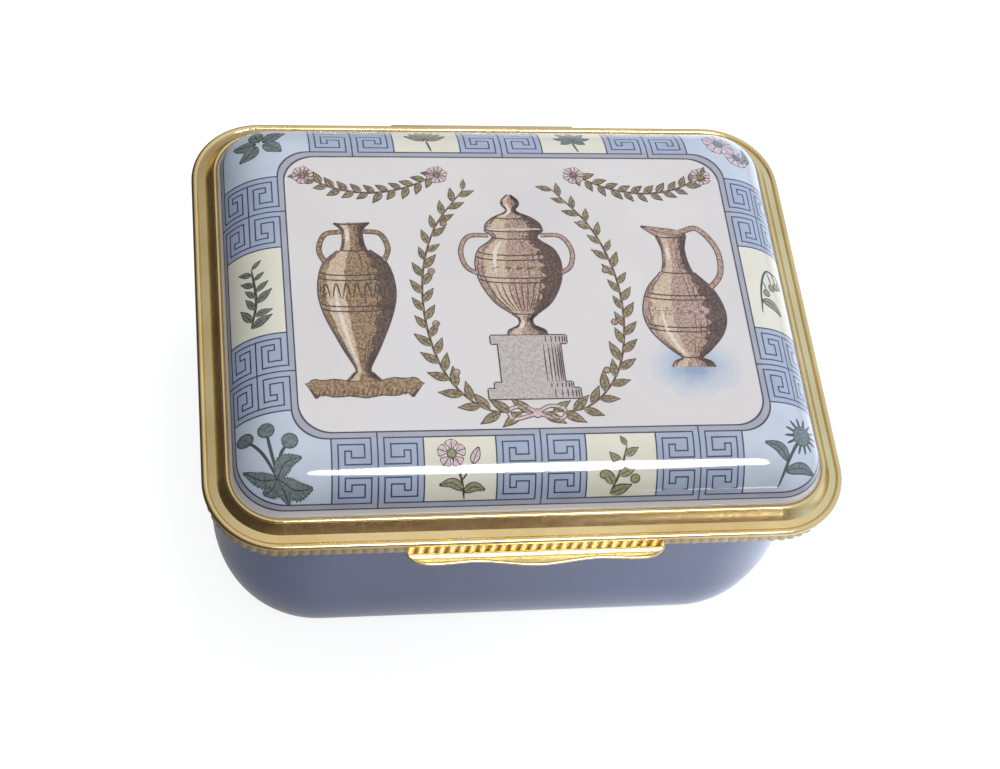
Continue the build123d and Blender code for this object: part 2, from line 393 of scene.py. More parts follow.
# %% Finish the enamels
GLASS_IOR = 1.5
GLAZE_ROUGHNESS = 0.07
GLAZE_COAT = 0.6
COAT_ROUGHNESS = 0.03
WAVE_SIZE = 0.006
WAVE_DEPTH = 0.00002
WAVE_STRENGTH = 0.5


def glaze(name, *stops, size, detail=3):
    """Glossy glass whose colour drifts between the stops, with slow waves in its skin."""
    material, tree, surface, place = start_material(name)
    colour = ramp(tree, noise(tree, place, size, detail), *stops)
    waves = bump(tree, noise(tree, place, WAVE_SIZE, 1), WAVE_STRENGTH, WAVE_DEPTH)
    fill(tree, surface, Base_Color=colour, Roughness=GLAZE_ROUGHNESS, IOR=GLASS_IOR, Normal=waves)
    fill(tree, surface, Coat_Weight=GLAZE_COAT, Coat_Roughness=COAT_ROUGHNESS, Coat_Normal=waves)
    return material


body_blue = glaze("body_blue", (0.3, shade(104, 115, 158)), (0.7, shade(114, 125, 168)), size=0.015)
whites = (0.35, shade(214, 210, 209)), (0.55, shade(220, 216, 214)), (0.75, shade(219, 217, 221))
lid_white = glaze("lid_white", *whites, size=0.02)
lining_white = glaze("lining_white", (0.3, shade(222, 222, 220)), (0.7, shade(230, 230, 228)), size=0.01)
dress(body_blue, "base_enamel")
dress(lid_white, "lid_enamel")
dress(lining_white, "base_lining", "lid_lining")
print("enamels done")

# %% [markdown]
# The decoration on the lid is a transfer: colours printed on thin film, laid on the white enamel and
# fired in. It has to follow the dome, so the dome is first written down as a rule. Its rings are
# round-cornered oblongs, drawn in from the edge along a shoulder arc and then over a slightly
# crowned top. From here on every drawing is in millimetres, and only the finishes stay in metres.

# %% Describe the dome
lid_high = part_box("lid_enamel")[1]
DOME_HALF_WIDTH = lid_high.x / MM
DOME_HALF_DEPTH = lid_high.y / MM
SHOULDER_RADIUS = 7.7
EDGE_SLOPE = math.radians(75)
TOP_SLOPE = math.radians(4)
EDGE_CORNER = 5.76
TOP_CORNER = 3.9
TOP_CAMBER = 0.75
ROUNDEST_CORNER = 0.96
HALVINGS = 30
TOP_HEIGHT = lid_high.z / MM - TOP_CAMBER
SHOULDER_RUN = SHOULDER_RADIUS * (math.sin(EDGE_SLOPE) - math.sin(TOP_SLOPE))
TOP_HALF_WIDTH = DOME_HALF_WIDTH - SHOULDER_RUN
TOP_HALF_DEPTH = DOME_HALF_DEPTH - SHOULDER_RUN


def dome_ring(level):
    """Half width, half depth, corner and height of a ring: 0 is the edge, 1 the top, 2 the middle."""
    slope = EDGE_SLOPE + (TOP_SLOPE - EDGE_SLOPE) * np.clip(level, 0, 1)
    run = SHOULDER_RADIUS * (math.sin(EDGE_SLOPE) - np.sin(slope))
    share = np.clip(2 - level, 0, 1)
    on_top = level > 1
    half_width = np.where(on_top, share * TOP_HALF_WIDTH, DOME_HALF_WIDTH - run)
    half_depth = np.where(on_top, share * TOP_HALF_DEPTH, DOME_HALF_DEPTH - run)
    corner = EDGE_CORNER + (TOP_CORNER - EDGE_CORNER) * run / SHOULDER_RUN
    rounding = share - np.sqrt(1 - np.sqrt(1 - share**2))
    crown = rounding * math.sqrt(TOP_HALF_WIDTH * TOP_HALF_DEPTH) / (1 - math.sqrt(0.5))
    crown = np.minimum(np.maximum(TOP_CORNER, crown), ROUNDEST_CORNER * share * TOP_HALF_DEPTH)
    fall = SHOULDER_RADIUS * (math.cos(TOP_SLOPE) - np.cos(slope))
    height = TOP_HEIGHT - fall + TOP_CAMBER * (1 - share**2)
    return half_width, half_depth, np.where(on_top, crown, corner), height


def dome_height(x, y):
    """The dome's height over points of its plan; each point's ring is found by halving the range."""
    x, y = np.abs(x), np.abs(y)
    low, high = np.zeros_like(x), np.full_like(x, 2.0)
    for _halving in range(HALVINGS):
        middle = (low + high) / 2
        half_width, half_depth, corner, _height = dome_ring(middle)
        beyond_x = x - half_width + corner
        beyond_y = y - half_depth + corner
        round_part = np.hypot(np.maximum(beyond_x, 0), np.maximum(beyond_y, 0))
        outside = round_part + np.minimum(np.maximum(beyond_x, beyond_y), 0) > corner
        high = np.where(outside, middle, high)
        low = np.where(outside, low, middle)
    return dome_ring((low + high) / 2)[3]


print("dome top starts", round(TOP_HALF_WIDTH, 2), "by", round(TOP_HALF_DEPTH, 2), "mm from the middle")

# %% [markdown]
# A fired colour stands a few hundredths of a millimetre proud, so each print is a thin closed skin.
# A flat drawing is lifted on to the dome point by point, given a lower face just under the glass and
# closed round its edge. Its upper face is shaded smooth, so it shines as one with the lid.

# %% Lay a print on the dome
PRINT_ROOT = 0.03
SLOPE_STEP = 0.01
EDGE_ANGLE = math.radians(40)


def on_dome(flat, lift):
    """Points of the plan as points that stand this far off the dome, measured square to it."""
    x, y = flat[:, 0], flat[:, 1]
    slope_x = (dome_height(x + SLOPE_STEP, y) - dome_height(x - SLOPE_STEP, y)) / (2 * SLOPE_STEP)
    slope_y = (dome_height(x, y + SLOPE_STEP) - dome_height(x, y - SLOPE_STEP)) / (2 * SLOPE_STEP)
    normal = np.stack([-slope_x, -slope_y, np.ones_like(x)], 1)
    normal /= np.linalg.norm(normal, axis=1)[:, None]
    seat = np.stack([x, y, dome_height(x, y)], 1)
    return seat + normal * lift


def close_skin(upper, lower, faces):
    """Points and faces of a thin closed skin between two copies of a sheet."""
    count = len(upper)
    edges = {(face[i], face[(i + 1) % len(face)]) for face in faces for i in range(len(face))}
    sides = [(a, a + count, b + count, b) for a, b in sorted(edges) if (b, a) not in edges]
    under = [tuple(point + count for point in reversed(face)) for face in faces]
    return np.concatenate([upper, lower]), list(faces) + under + sides


def new_piece(name, points, faces, material):
    """A piece of the lid from points in millimetres, smooth but for its sharp edges."""
    mesh = bpy.data.meshes.new(name)
    mesh.from_pydata((np.asarray(points) * MM).tolist(), [], faces)
    mesh.materials.append(material)
    mesh.shade_smooth()
    mesh.set_sharp_from_angle(angle=EDGE_ANGLE)
    piece = bpy.data.objects.new(name, mesh)
    bpy.context.scene.collection.objects.link(piece)
    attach(piece, "lid")
    print(name, len(mesh.polygons), "faces")
    return piece


class Drawing:
    """A flat drawing in one colour: points of the plan and the faces between them."""

    def __init__(self):
        self.points = []
        self.faces = []

    def rows(self, rows, closed=False):
        """Faces between rows of points, each row as long as the next."""
        start, length = len(self.points), len(rows[0])
        for row in rows:
            self.points += [tuple(point) for point in row]
        for r in range(len(rows) - 1):
            for c in range(length if closed else length - 1):
                a, b = start + r * length + c, start + r * length + (c + 1) % length
                self.faces.append((a, b, b + length, a + length))

    def adopt(self, points, faces):
        """Take in points and faces that were made elsewhere."""
        start = len(self.points)
        self.points += [tuple(point) for point in points]
        self.faces += [tuple(index + start for index in face) for face in faces]

    def fire(self, name, lift, material):
        """Lift the drawing on to the dome and make it a piece."""
        flat = np.array(self.points, float)
        faces = [face if self.turns_left(face) else tuple(reversed(face)) for face in self.faces]
        points, closed = close_skin(on_dome(flat, lift), on_dome(flat, -PRINT_ROOT), faces)
        return new_piece(name, points, closed, material)

    def turns_left(self, face):
        """Whether a face runs anticlockwise seen from above."""
        corners = [self.points[i] for i in face]
        pairs = zip(corners, corners[1:] + corners[:1])
        return sum(ax * by - bx * ay for (ax, ay), (bx, by) in pairs) > 0


print("prints can be laid")

# %% [markdown]
# The border sits on the shoulder of the lid. It is drawn unrolled, as a tape: along the edge one
# way, and across the shoulder the other, from its inner line outwards. Round a corner the tape
# follows the dome's own rings. Two grey bands with dark lines run right round, and between them
# come blocks of Greek key, cream panels and pale blue corners.

# %% Measure the border
BLOCK_WIDTH = 10.4
KEY_COLUMNS = 14
KEY_ROWS = 10
KEY_ALONG = BLOCK_WIDTH / KEY_COLUMNS
KEY_ACROSS = 0.76
BORDER_WIDTH = KEY_ACROSS * KEY_ROWS
BAND_WIDTH = 0.75
LINE_WIDTH = 0.17
INNER_CORNER_SHARE = 0.13
SIDES = {
    "front": {"blocks": 3, "panel": 8.3, "half": TOP_HALF_DEPTH, "turn": 0.0},
    "right": {"blocks": 2, "panel": 12.0, "half": TOP_HALF_WIDTH, "turn": math.radians(90)},
    "back": {"blocks": 3, "panel": 8.3, "half": TOP_HALF_DEPTH, "turn": math.radians(180)},
    "left": {"blocks": 2, "panel": 12.0, "half": TOP_HALF_WIDTH, "turn": math.radians(270)},
}
CORNER_STEPS = 16
CORNER_RUN_POINTS = 5
SIDE_STEP = 1.0


def half_run(side):
    """Half the length of a side's straight stretch of blocks and panels."""
    blocks = SIDES[side]["blocks"]
    return (blocks * BLOCK_WIDTH + (blocks - 1) * SIDES[side]["panel"]) / 2


def tape_ring(across):
    """Half width, half depth and corner of the oblong at this distance across the tape."""
    if across < 0:
        corner = TOP_CORNER + INNER_CORNER_SHARE * across
        return TOP_HALF_WIDTH + across, TOP_HALF_DEPTH + across, corner
    run = SHOULDER_RADIUS * (math.sin(TOP_SLOPE + across / SHOULDER_RADIUS) - math.sin(TOP_SLOPE))
    corner = TOP_CORNER + (EDGE_CORNER - TOP_CORNER) * run / SHOULDER_RUN
    return TOP_HALF_WIDTH + run, TOP_HALF_DEPTH + run, corner


def corner_row(across, right, front):
    """Points of a ring round one corner, from the end of one side's blocks to the next's."""
    half_width, half_depth, corner = tape_ring(across)
    centre_x, centre_y = half_width - corner, half_depth - corner
    run_up = np.linspace(half_run("front"), centre_x, CORNER_RUN_POINTS)[:-1]
    run_off = np.linspace(centre_y, half_run("right"), CORNER_RUN_POINTS)[1:]
    points = [(x, -half_depth) for x in run_up]
    for step in range(CORNER_STEPS + 1):
        angle = math.radians(90) * step / CORNER_STEPS
        points.append((centre_x + corner * math.sin(angle), -centre_y - corner * math.cos(angle)))
    points += [(half_width, -y) for y in run_off]
    return [(x * right, y * front) for x, y in points]


def full_row(across):
    """Points of a ring all the way round, at even steps along its sides."""
    half_width, half_depth, corner = tape_ring(across)
    centre_x, centre_y = half_width - corner, half_depth - corner
    points = []
    for quarter in range(4):
        long_side = quarter % 2 == 0
        reach, deep = (centre_x, half_depth) if long_side else (centre_y, half_width)
        count = round(2 * (TOP_HALF_WIDTH if long_side else TOP_HALF_DEPTH) / SIDE_STEP)
        side = [(along, -deep) for along in np.linspace(-reach, reach, count)[1:-1]]
        for step in range(CORNER_STEPS + 1):
            angle = math.radians(90) * step / CORNER_STEPS
            side.append((reach + corner * math.sin(angle), -deep + corner - corner * math.cos(angle)))
        cosine, sine = math.cos(math.radians(90) * quarter), math.sin(math.radians(90) * quarter)
        points += [(x * cosine - y * sine, x * sine + y * cosine) for x, y in side]
    return points


CORNERS = [(1, 1), (-1, 1), (-1, -1), (1, -1)]
print("straight runs", round(half_run("front"), 2), "and", round(half_run("right"), 2), "mm each way")

# %% [markdown]
# Printed colour is not flat either. It drifts a little across the tape and carries the fine grain
# of the printing screen, so each print gets two close colours and a noise with much fine detail.
# The bands, the corners and the dark lines round them are the first to be laid. The lines stand a
# little prouder than the colours under them, as the last ink to be printed does.

# %% Print the bands, the corners and their lines
GRAIN_DETAIL = 8
GROUND_LIFT = 0.03
LINE_LIFT = 0.045
BAND_ROWS = 3
CORNER_ROWS = 21


def print_colour(name, dark, light, size=0.004):
    """A fired print colour: a slow drift with a little grain in it."""
    return glaze(name, (0.3, dark), (0.7, light), size=size, detail=GRAIN_DETAIL)


band_grey = print_colour("band_grey", shade(160, 161, 172), shade(172, 173, 184))
corner_blue = print_colour("corner_blue", shade(190, 200, 214), shade(200, 209, 222))
line_navy = print_colour("line_navy", shade(50, 55, 80), shade(68, 72, 96), size=0.001)

bands = Drawing()
for inner in (-BAND_WIDTH, BORDER_WIDTH):
    rows = np.linspace(inner, inner + BAND_WIDTH, BAND_ROWS)
    bands.rows([full_row(across) for across in rows], closed=True)
bands.fire("border_bands", GROUND_LIFT, band_grey)

corners = Drawing()
for right, front in CORNERS:
    rows = np.linspace(0, BORDER_WIDTH, CORNER_ROWS)
    corners.rows([corner_row(across, right, front) for across in rows])
corners.fire("border_corners", GROUND_LIFT, corner_blue)


def line_sides(across):
    """Where the two sides of a line lie, across the tape."""
    return across - LINE_WIDTH / 2, across + LINE_WIDTH / 2


lines = Drawing()
for across in (-BAND_WIDTH, BORDER_WIDTH + BAND_WIDTH):
    lines.rows([full_row(side) for side in line_sides(across)], closed=True)
for across in (0, BORDER_WIDTH):
    for right, front in CORNERS:
        lines.rows([corner_row(side, right, front) for side in line_sides(across)])
lines.fire("border_lines", LINE_LIFT, line_navy)

# %% [markdown]
# The Greek key is one small drawing used ten times. A quarter of a block is a single line that
# winds inwards on a grid, and the block is that quarter mirrored both ways. Only the block is drawn
# here, flat. Repeating it along a side and bending the row over the shoulder are left to Geometry
# Nodes, because both follow a simple rule.

# %% Draw one block of the key
KEY_TURNS = [(0, 0), (6, 0), (6, 4), (2, 4), (2, 2), (3, 2), (3, 3), (5, 3), (5, 1), (1, 1), (1, 5), (7, 5)]


def steps_between(start, end):
    """The unit steps of the grid from one point to another in line with it."""
    length = abs(end[0] - start[0]) + abs(end[1] - start[1])
    along = ((end[0] - start[0]) // length, (end[1] - start[1]) // length)
    stops = [(start[0] + along[0] * i, start[1] + along[1] * i) for i in range(length + 1)]
    return [tuple(sorted(pair)) for pair in zip(stops, stops[1:])]


def key_steps():
    """Every unit step of a whole block: the winding lines, the border and the middle line."""
    quarter = [step for pair in zip(KEY_TURNS, KEY_TURNS[1:]) for step in steps_between(*pair)]
    quarter += steps_between((0, 0), (0, 5)) + steps_between((7, -1), (7, 5))
    steps = set()
    for ends in quarter:
        for flip_column in (False, True):
            for flip_row in (False, True):
                moved = [
                    (KEY_COLUMNS - c if flip_column else c, KEY_ROWS - r if flip_row else r) for c, r in ends
                ]
                steps.add(tuple(sorted(moved)))
    return steps


def line_faces(steps):
    """The steps as flat strips of the line's width, joined by a square at every grid point."""
    half = LINE_WIDTH / 2
    corners, faces = {}, []

    def corner(column, row, right, up):
        place = (column * KEY_ALONG + right * half - BLOCK_WIDTH / 2, row * KEY_ACROSS + up * half)
        return corners.setdefault((round(place[0], 5), round(place[1], 5)), len(corners))

    for c, r in sorted({point for step in steps for point in step}):
        faces.append((corner(c, r, -1, -1), corner(c, r, 1, -1), corner(c, r, 1, 1), corner(c, r, -1, 1)))
    for (c, r), (c_end, r_end) in sorted(steps):
        if c_end > c:
            faces.append(
                (corner(c, r, 1, -1), corner(c_end, r, -1, -1), corner(c_end, r, -1, 1), corner(c, r, 1, 1))
            )
        else:
            faces.append(
                (corner(c, r, -1, 1), corner(c, r, 1, 1), corner(c, r_end, 1, -1), corner(c, r_end, -1, -1))
            )
    return list(corners), faces


key_points, key_faces = line_faces(key_steps())
print("one block of the key:", len(key_faces), "faces")

# %% [markdown]
# Geometry Nodes repeat a drawing by rule. These helpers keep that short: one starts a tree with
# named inputs, one ends it, and one runs a tree on some points, edges and faces and takes the plain
# mesh that comes out. The modifier goes with its carrier, so nothing live is left on the box.

# %% Helpers for Geometry Nodes
SOCKET_KINDS = {int: "NodeSocketInt", float: "NodeSocketFloat"}


def start_tree(name, **inputs):
    """A Geometry Nodes tree with a socket for each named input, and its input sockets by name."""
    tree = bpy.data.node_groups.new(name, "GeometryNodeTree")
    tree.interface.new_socket("Drawing", in_out="INPUT", socket_type="NodeSocketGeometry")
    for label, value in inputs.items():
        kind = SOCKET_KINDS[type(value)]
        socket = tree.interface.new_socket(label.replace("_", " "), in_out="INPUT", socket_type=kind)
        socket.default_value = value
    tree.interface.new_socket("Result", in_out="OUTPUT", socket_type="NodeSocketGeometry")
    return tree, tree.nodes.new("NodeGroupInput").outputs


def parts_of(tree, kind):
    """The X, Y and Z of what each point knows of itself, such as its position."""
    return add(tree, "ShaderNodeSeparateXYZ", Vector=make(tree, kind)).outputs


def finish_tree(tree, geometry, material):
    """End the tree with real geometry in one finish."""
    real = make(tree, "GeometryNodeRealizeInstances", Geometry=geometry)
    dressed = make(tree, "GeometryNodeSetMaterial", Geometry=real, Material=material)
    tree.links.new(dressed, tree.nodes.new("NodeGroupOutput").inputs[0])


def run_tree(tree, points, edges=(), faces=(), **values):
    """The points and faces that the tree makes from a drawing, with its inputs set by socket."""
    mesh = bpy.data.meshes.new("drawing")
    mesh.from_pydata([(*point[:2], 0.0) for point in points], list(edges), list(faces))
    carrier = bpy.data.objects.new("drawing", mesh)
    bpy.context.scene.collection.objects.link(carrier)
    modifier = carrier.modifiers.new("tree", "NODES")
    modifier.node_group = tree
    for item in tree.interface.items_tree:
        label = item.name.replace(" ", "_")
        if item.in_out == "INPUT" and label in values:
            modifier[item.identifier] = values[label]
    evaluated = carrier.evaluated_get(bpy.context.evaluated_depsgraph_get())
    made = bpy.data.meshes.new_from_object(evaluated)
    bpy.data.objects.remove(carrier)
    made_points = [tuple(vertex.co) for vertex in made.vertices]
    made_faces = [tuple(face.vertices) for face in made.polygons]
    bpy.data.meshes.remove(made)
    return made_points, made_faces


print("tree helpers ready")

# %% [markdown]
# The tree for the border sets copies of a flat block in a row, gives them their thickness, and then
# bends the row over the shoulder. The bend is the whole trick: a point's distance across the tape
# becomes an angle on the shoulder arc, and its height becomes a longer radius. The little that
# reaches inside the innermost line carries on straight, at the slope the arc ends with.


# %% Build the border tree
WELD = 0.0001


def border_tree(material):
    """Repeat a flat block along one side of the lid and bend the row over the shoulder."""
    tree, given = start_tree(
        "border_side", Blocks=1, Spacing=1.0, Half_Side=1.0, Turn=0.0, Lift=0.02, Root=0.03,
        Shoulder_Radius=1.0, Top_Slope=0.1, Top_Height=1.0,
    )
    spread = calc(tree, "MULTIPLY", given["Spacing"], calc(tree, "SUBTRACT", given["Blocks"], 1.0))
    first = make(tree, "ShaderNodeCombineXYZ", X=calc(tree, "MULTIPLY", spread, -0.5))
    step = make(tree, "ShaderNodeCombineXYZ", X=given["Spacing"])
    places = make(tree, "GeometryNodeMeshLine", Count=given["Blocks"], Start_Location=first, Offset=step)
    row = make(tree, "GeometryNodeInstanceOnPoints", Points=places, Instance=given["Drawing"])
    flat = make(tree, "GeometryNodeRealizeInstances", Geometry=row)
    thickness = calc(tree, "ADD", given["Lift"], given["Root"])
    raised = make(tree, "GeometryNodeExtrudeMesh", Mesh=flat, Offset_Scale=thickness, Individual=False)
    under = make(tree, "GeometryNodeFlipFaces", Mesh=flat)
    both = add(tree, "GeometryNodeJoinGeometry")
    tree.links.new(raised, both.inputs[0])
    tree.links.new(under, both.inputs[0])
    closed = make(tree, "GeometryNodeMergeByDistance", Geometry=both.outputs[0], Distance=WELD)

    place = parts_of(tree, "GeometryNodeInputPosition")
    radius, top = given["Shoulder Radius"], given["Top Slope"]
    sine, cosine = calc(tree, "SINE", top), calc(tree, "COSINE", top)
    outer = calc(tree, "MAXIMUM", place["Y"], 0.0)
    inner = calc(tree, "MINIMUM", place["Y"], 0.0)
    slope = calc(tree, "ADD", top, calc(tree, "DIVIDE", outer, radius))
    reach = calc(tree, "ADD", radius, calc(tree, "SUBTRACT", place["Z"], given["Root"]))
    out = calc(tree, "MULTIPLY", reach, calc(tree, "SINE", slope))
    out = calc(tree, "SUBTRACT", out, calc(tree, "MULTIPLY", radius, sine))
    out = calc(tree, "ADD", out, calc(tree, "MULTIPLY", inner, cosine))
    up = calc(tree, "MULTIPLY", reach, calc(tree, "COSINE", slope))
    up = calc(tree, "SUBTRACT", up, calc(tree, "MULTIPLY", radius, cosine))
    up = calc(tree, "SUBTRACT", up, calc(tree, "MULTIPLY", inner, sine))
    x = calc(tree, "MULTIPLY", place["X"], -1.0)
    y = calc(tree, "MULTIPLY", calc(tree, "ADD", given["Half Side"], out), -1.0)
    z = calc(tree, "ADD", given["Top Height"], up)
    bent = make(tree, "ShaderNodeCombineXYZ", X=x, Y=y, Z=z)
    shaped = make(tree, "GeometryNodeSetPosition", Geometry=closed, Position=bent)
    turn = make(tree, "ShaderNodeCombineXYZ", Z=given["Turn"])
    turned = make(tree, "GeometryNodeTransform", Geometry=shaped, Rotation=turn)
    finish_tree(tree, turned, material)
    return tree


def lay_border(name, lift, material, tiles):
    """One piece from flat tiles repeated on each side; a side's tile is its points, faces and count."""
    tree = border_tree(material)
    points, faces = [], []
    for side, (tile_points, tile_faces, count) in tiles.items():
        facts = SIDES[side]
        made_points, made_faces = run_tree(
            tree, tile_points, faces=tile_faces, Blocks=count, Spacing=BLOCK_WIDTH + facts["panel"],
            Half_Side=facts["half"], Turn=facts["turn"], Lift=lift, Root=PRINT_ROOT,
            Shoulder_Radius=SHOULDER_RADIUS, Top_Slope=TOP_SLOPE, Top_Height=TOP_HEIGHT,
        )
        faces += [tuple(index + len(points) for index in face) for face in made_faces]
        points += made_points
    return new_piece(name, points, faces, material)


print("border tree ready")

# %% [markdown]
# One tree lays four prints: the blue ground under each block, the cream panel in each gap between
# blocks, the dark edges of the panels and the key itself. A ground or a panel is a plain tile, cut
# into narrow strips so that it can bend.

# %% Print the key and the cream panels
STRIP_WIDTH = 0.4


def tile(width, *strips):
    """A flat tile of that width, made of strips from one distance across the tape to another."""
    flat = Drawing()
    columns = np.linspace(-width / 2, width / 2, max(2, round(width / SIDE_STEP)))
    for low, high in strips:
        count = max(2, 1 + math.ceil((high - low) / STRIP_WIDTH))
        flat.rows([[(x, across) for x in columns] for across in np.linspace(low, high, count)])
    return flat.points, flat.faces


def panel_tiles(*strips):
    """For each side, a tile as wide as its panels and the count of its gaps."""
    return {side: (*tile(facts["panel"], *strips), facts["blocks"] - 1) for side, facts in SIDES.items()}


key_blue = print_colour("key_blue", shade(158, 169, 192), shade(170, 181, 203))
panel_cream = print_colour("panel_cream", shade(222, 219, 200), shade(229, 225, 209))
whole = (0, BORDER_WIDTH)
ground = tile(BLOCK_WIDTH, whole)
ground_tiles = {side: (*ground, facts["blocks"]) for side, facts in SIDES.items()}
key_tiles = {side: (key_points, key_faces, facts["blocks"]) for side, facts in SIDES.items()}
lay_border("key_grounds", GROUND_LIFT, key_blue, ground_tiles)
lay_border("cream_panels", GROUND_LIFT, panel_cream, panel_tiles(whole))
lay_border("panel_edges", LINE_LIFT, line_navy, panel_tiles(*map(line_sides, whole)))
lay_border("greek_key", LINE_LIFT, line_navy, key_tiles)

# %% [markdown]
# The pictures are made of strokes, leaves and dots, as a copper engraving is. A stroke is a ribbon
# that narrows at its ends, and a leaf is a ribbon that swells in the middle. Each picture is drawn
# upright and flat, and a rule puts it in its place on the lid: beside the tape of the border, out
# along a corner's diagonal, or on the panel just as it is drawn. Everything printed in one ink
# becomes one piece.

# %% Mix the inks
MOTTLE = 0.0003
INK_DETAIL = 6
OUTLINE_LIFT = 0.05
TONE_LIFT = 0.058
SHADOW_LIFT = 0.063
DETAIL_LIFT = 0.068
INKS = {
    "outline": (OUTLINE_LIFT, (60, 46, 46), (84, 66, 62), 0.3, 0.7),
    "slate_line": (OUTLINE_LIFT, (58, 66, 66), (78, 86, 86), 0.3, 0.7),
    "leaf_green": (TONE_LIFT, (98, 112, 98), (128, 140, 124), 0.4, 0.6),
    "olive": (TONE_LIFT, (128, 130, 92), (160, 160, 118), 0.4, 0.6),
    "laurel": (TONE_LIFT, (112, 98, 70), (158, 142, 106), 0.44, 0.56),
    "sepia": (TONE_LIFT, (112, 86, 60), (172, 144, 108), 0.4, 0.6),
    "stone": (TONE_LIFT, (172, 162, 160), (196, 188, 188), 0.4, 0.6),
    "terracotta": (TONE_LIFT, (146, 114, 98), (192, 166, 150), 0.4, 0.6),
    "rose": (TONE_LIFT, (204, 176, 182), (222, 200, 202), 0.4, 0.6),
    "slate": (TONE_LIFT, (84, 98, 100), (120, 132, 132), 0.35, 0.6),
    "shadow": (SHADOW_LIFT, (70, 50, 42), (112, 86, 72), 0.4, 0.6),
    "light": (SHADOW_LIFT, (188, 162, 136), (212, 192, 170), 0.4, 0.6),
    "hatching": (DETAIL_LIFT, (60, 44, 40), (92, 70, 60), 0.4, 0.6),
    "bright": (DETAIL_LIFT, (216, 200, 184), (230, 218, 206), 0.4, 0.6),
}
inks = {name: Drawing() for name in INKS}
print("inks:", ", ".join(inks))

# %% [markdown]
# Leaves that repeat along a stem are the other job for Geometry Nodes. The stem is cut into even
# steps. A leaf, made once in the tree, is set on each step, turned to one side and the other by
# turns, shrunk towards the tip and varied a little by a fixed seed.


# %% Build the tree of the leafy stem
LEAF_BELLY = 0.8
LEAF_FOOT = 0.08
TURN_CHANCE = 0.4
SIZE_CHANCE = 0.2


def leafy_tree():
    """Leaves along a stem, to one side and the other by turns, smaller towards the tip."""
    tree, given = start_tree(
        "leafy_stem", Leaves=12, Leaf_Length=3.0, Leaf_Width=1.0, Spread=0.6, Tip_Scale=0.6, Seed=1,
    )
    stem = make(tree, "GeometryNodeMeshToCurve", Mesh=given["Drawing"])
    steps = make(tree, "GeometryNodeResampleCurve", Curve=stem, Count=given["Leaves"])
    sheet = make(tree, "GeometryNodeMeshGrid", Vertices_X=9, Vertices_Y=3)
    place = parts_of(tree, "GeometryNodeInputPosition")
    along = calc(tree, "ADD", place["X"], 0.5)
    swell = calc(tree, "SINE", calc(tree, "MULTIPLY", calc(tree, "POWER", along, LEAF_BELLY), math.pi))
    width = calc(tree, "MULTIPLY", place["Y"], calc(tree, "MAXIMUM", swell, LEAF_FOOT))
    outline = make(tree, "ShaderNodeCombineXYZ", X=along, Y=width)
    leaf = make(tree, "GeometryNodeSetPosition", Geometry=sheet, Position=outline)

    index = make(tree, "GeometryNodeInputIndex")
    side = calc(tree, "MULTIPLY", calc(tree, "MODULO", index, 2.0), 2.0)
    side = calc(tree, "SUBTRACT", side, 1.0)
    run = parts_of(tree, "GeometryNodeInputTangent")
    heading = calc(tree, "ARCTAN2", run["Y"], run["X"])
    chance = add(tree, "FunctionNodeRandomValue", {"data_type": "FLOAT"}, ID=index, Seed=given["Seed"])
    chance = calc(tree, "ADD", chance.outputs["Value"], -0.5)
    sway = calc(tree, "ADD", side, calc(tree, "MULTIPLY", chance, TURN_CHANCE))
    turn = calc(tree, "ADD", heading, calc(tree, "MULTIPLY", given["Spread"], sway))
    share = make(tree, "GeometryNodeSplineParameter")
    shrink = calc(tree, "MULTIPLY", share, calc(tree, "SUBTRACT", given["Tip Scale"], 1.0))
    size = calc(tree, "ADD", shrink, 1.0)
    size = calc(tree, "ADD", size, calc(tree, "MULTIPLY", chance, SIZE_CHANCE))
    length = calc(tree, "MULTIPLY", size, given["Leaf Length"])
    breadth = calc(tree, "MULTIPLY", size, given["Leaf Width"])
    turned = make(tree, "ShaderNodeCombineXYZ", Z=turn)
    scale = make(tree, "ShaderNodeCombineXYZ", X=length, Y=breadth, Z=1.0)
    leaves = make(
        tree, "GeometryNodeInstanceOnPoints", Points=steps, Instance=leaf, Rotation=turned, Scale=scale,
    )
    finish_tree(tree, leaves, line_navy)
    return tree


leafy_stem = leafy_tree()
print("leafy stem tree:", len(leafy_stem.nodes), "nodes")

# %% [markdown]
# A picture knows where it stands and offers the few marks that everything is drawn with. A toned
# mark is laid twice, first a little larger in the dark ink and then in its own, so that a thin dark
# edge is left round it.


# %% Marks to draw with
def heading(degrees):
    """One step in a direction, counted anticlockwise from the right."""
    angle = math.radians(degrees)
    return np.array([math.cos(angle), math.sin(angle)])


def smooth(points, steps=6):
    """A smooth line through the given points."""
    points = np.array(points, float)
    ends = [2 * points[0] - points[1], *points, 2 * points[-1] - points[-2]]
    line = []
    for before, start, end, after in zip(ends, ends[1:], ends[2:], ends[3:]):
        bend = 2 * before - 5 * start + 4 * end - after
        twist = 3 * (start - end) + after - before
        for share in np.arange(steps) / steps:
            line.append(start + share * (end - before + share * (bend + share * twist)) / 2)
    return np.array(line + [points[-1]])


